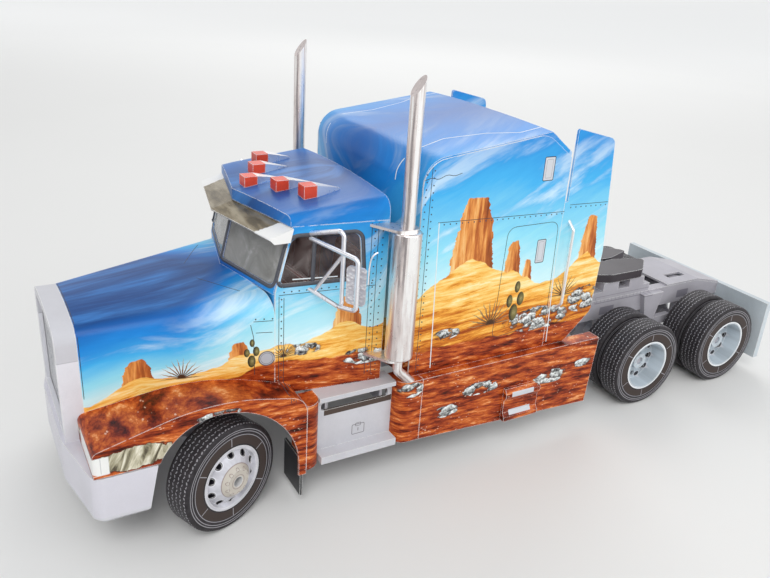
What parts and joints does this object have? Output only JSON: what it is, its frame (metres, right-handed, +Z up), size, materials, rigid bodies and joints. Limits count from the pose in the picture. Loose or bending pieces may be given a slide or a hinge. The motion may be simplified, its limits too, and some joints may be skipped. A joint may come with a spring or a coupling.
{
  "type": "card model of a conventional truck tractor with sleeper cab",
  "caption": "Card model of a truck tractor with sleeper, twin stacks, side skirts and fifth wheel, on three axles; the front wheels steer and every wheel rolls.",
  "frame": {"origin": "on the ground, in the middle of the truck's length and width", "axes": "+X forward, +Y to the driver's left, +Z up"},
  "size_m": [0.2732, 0.091, 0.1266],
  "materials": {
    "frame": "light grey printed card",
    "coupling": "dark grey printed card",
    "grey_card": "silver grey printed card",
    "printed_card": "glossy printed card with a desert mural",
    "foil": "hand-rubbed aluminium foil over card",
    "lens_clear": "printed lamp on card",
    "lens_red": "printed orange-red lamp on card",
    "film": "clear film",
    "black_card": "black card",
    "interior": "dark printed card",
    "steering": "grey card",
    "tyre": "matte charcoal printed card",
    "rim": "silver printed card"
  },
  "bodies": {
    "chassis": {"frame_rails": "frame", "crossmembers": "frame", "drive_axles": "frame", "suspension": "frame", "front_axle": "frame", "side_brackets": "frame", "coupling_base": "frame", "deck_plate": "frame", "cab_floor": "frame", "sleeper_floor": "frame", "fifth_wheel": "coupling", "bumper": "grey_card", "grille_shell": "grey_card", "grille_bars": "grey_card", "steps": "grey_card", "skirt_steps": "grey_card", "rear_mudflaps": "grey_card", "exhaust_brackets": "grey_card", "hood": "printed_card", "fenders": "printed_card", "cab_sides": "printed_card", "cab_front": "printed_card", "cab_roof": "printed_card", "sleeper_shell": "printed_card", "sleeper_sides": "printed_card", "sleeper_back": "printed_card", "cab_back": "printed_card", "extenders": "printed_card", "skirts": "printed_card", "corner_fairings": "printed_card", "exhausts": "foil", "visor": "foil", "lamp_tails": "foil", "grab_handles": "foil", "mirror_frames": "foil", "mirrors": "foil", "headlights": "lens_clear", "roof_lamps": "lens_red", "windshield": "film", "door_windows": "film", "front_mudflaps": "black_card", "dashboard": "interior", "steering_wheel": "interior", "seats": "interior"},
    "knuckle_left": {"knuckle_left": "steering"},
    "knuckle_right": {"knuckle_right": "steering"},
    "tie_rod": {"tie_rod": "steering"},
    "wheel_front_left": {"front_tyre_left": "tyre", "front_rim_left": "rim"},
    "wheel_front_right": {"front_tyre_right": "tyre", "front_rim_right": "rim"},
    "wheel_drive_1_left": {"drive_tyres_1_left": "tyre", "drive_rims_1_left": "rim"},
    "wheel_drive_1_right": {"drive_tyres_1_right": "tyre", "drive_rims_1_right": "rim"},
    "wheel_drive_2_left": {"drive_tyres_2_left": "tyre", "drive_rims_2_left": "rim"},
    "wheel_drive_2_right": {"drive_tyres_2_right": "tyre", "drive_rims_2_right": "rim"}
  },
  "joints": [
    {"name": "steer_left", "type": "hinge", "parent": "chassis", "child": "knuckle_left", "pos_m": [0.1001, 0.026, 0.0165], "axis": [0, 0, 1], "range_deg": [-52.5, 7.5]},
    {"name": "steer_right", "type": "hinge", "parent": "chassis", "child": "knuckle_right", "pos_m": [0.1001, -0.026, 0.0165], "axis": [0, 0, 1], "range_deg": [-52.5, 7.5]},
    {"name": "tie_rod_pivot", "type": "hinge", "parent": "knuckle_left", "child": "tie_rod", "pos_m": [0.09179, 0.02256, 0.013], "axis": [0, 0, 1], "range_deg": [-7.5, 52.5]},
    {"name": "roll_front_left", "type": "hinge", "parent": "knuckle_left", "child": "wheel_front_left", "pos_m": [0.09712, 0.03321, 0.0165], "axis": [-0.3827, 0.9239, 0], "continuous": true},
    {"name": "roll_front_right", "type": "hinge", "parent": "knuckle_right", "child": "wheel_front_right", "pos_m": [0.10308, -0.03321, 0.0165], "axis": [-0.3827, 0.9239, 0], "continuous": true},
    {"name": "roll_drive_1_left", "type": "hinge", "parent": "chassis", "child": "wheel_drive_1_left", "pos_m": [-0.069, 0.0277, 0.0165], "axis": [0, 1, 0], "continuous": true},
    {"name": "roll_drive_1_right", "type": "hinge", "parent": "chassis", "child": "wheel_drive_1_right", "pos_m": [-0.069, -0.0277, 0.0165], "axis": [0, 1, 0], "continuous": true},
    {"name": "roll_drive_2_left", "type": "hinge", "parent": "chassis", "child": "wheel_drive_2_left", "pos_m": [-0.1137, 0.0277, 0.0165], "axis": [0, 1, 0], "continuous": true},
    {"name": "roll_drive_2_right", "type": "hinge", "parent": "chassis", "child": "wheel_drive_2_right", "pos_m": [-0.1137, -0.0277, 0.0165], "axis": [0, 1, 0], "continuous": true}
  ],
  "couplings": [
    {"joint": "steer_right", "follows": "steer_left", "ratio": 1},
    {"joint": "tie_rod_pivot", "follows": "steer_left", "ratio": -1}
  ]
}
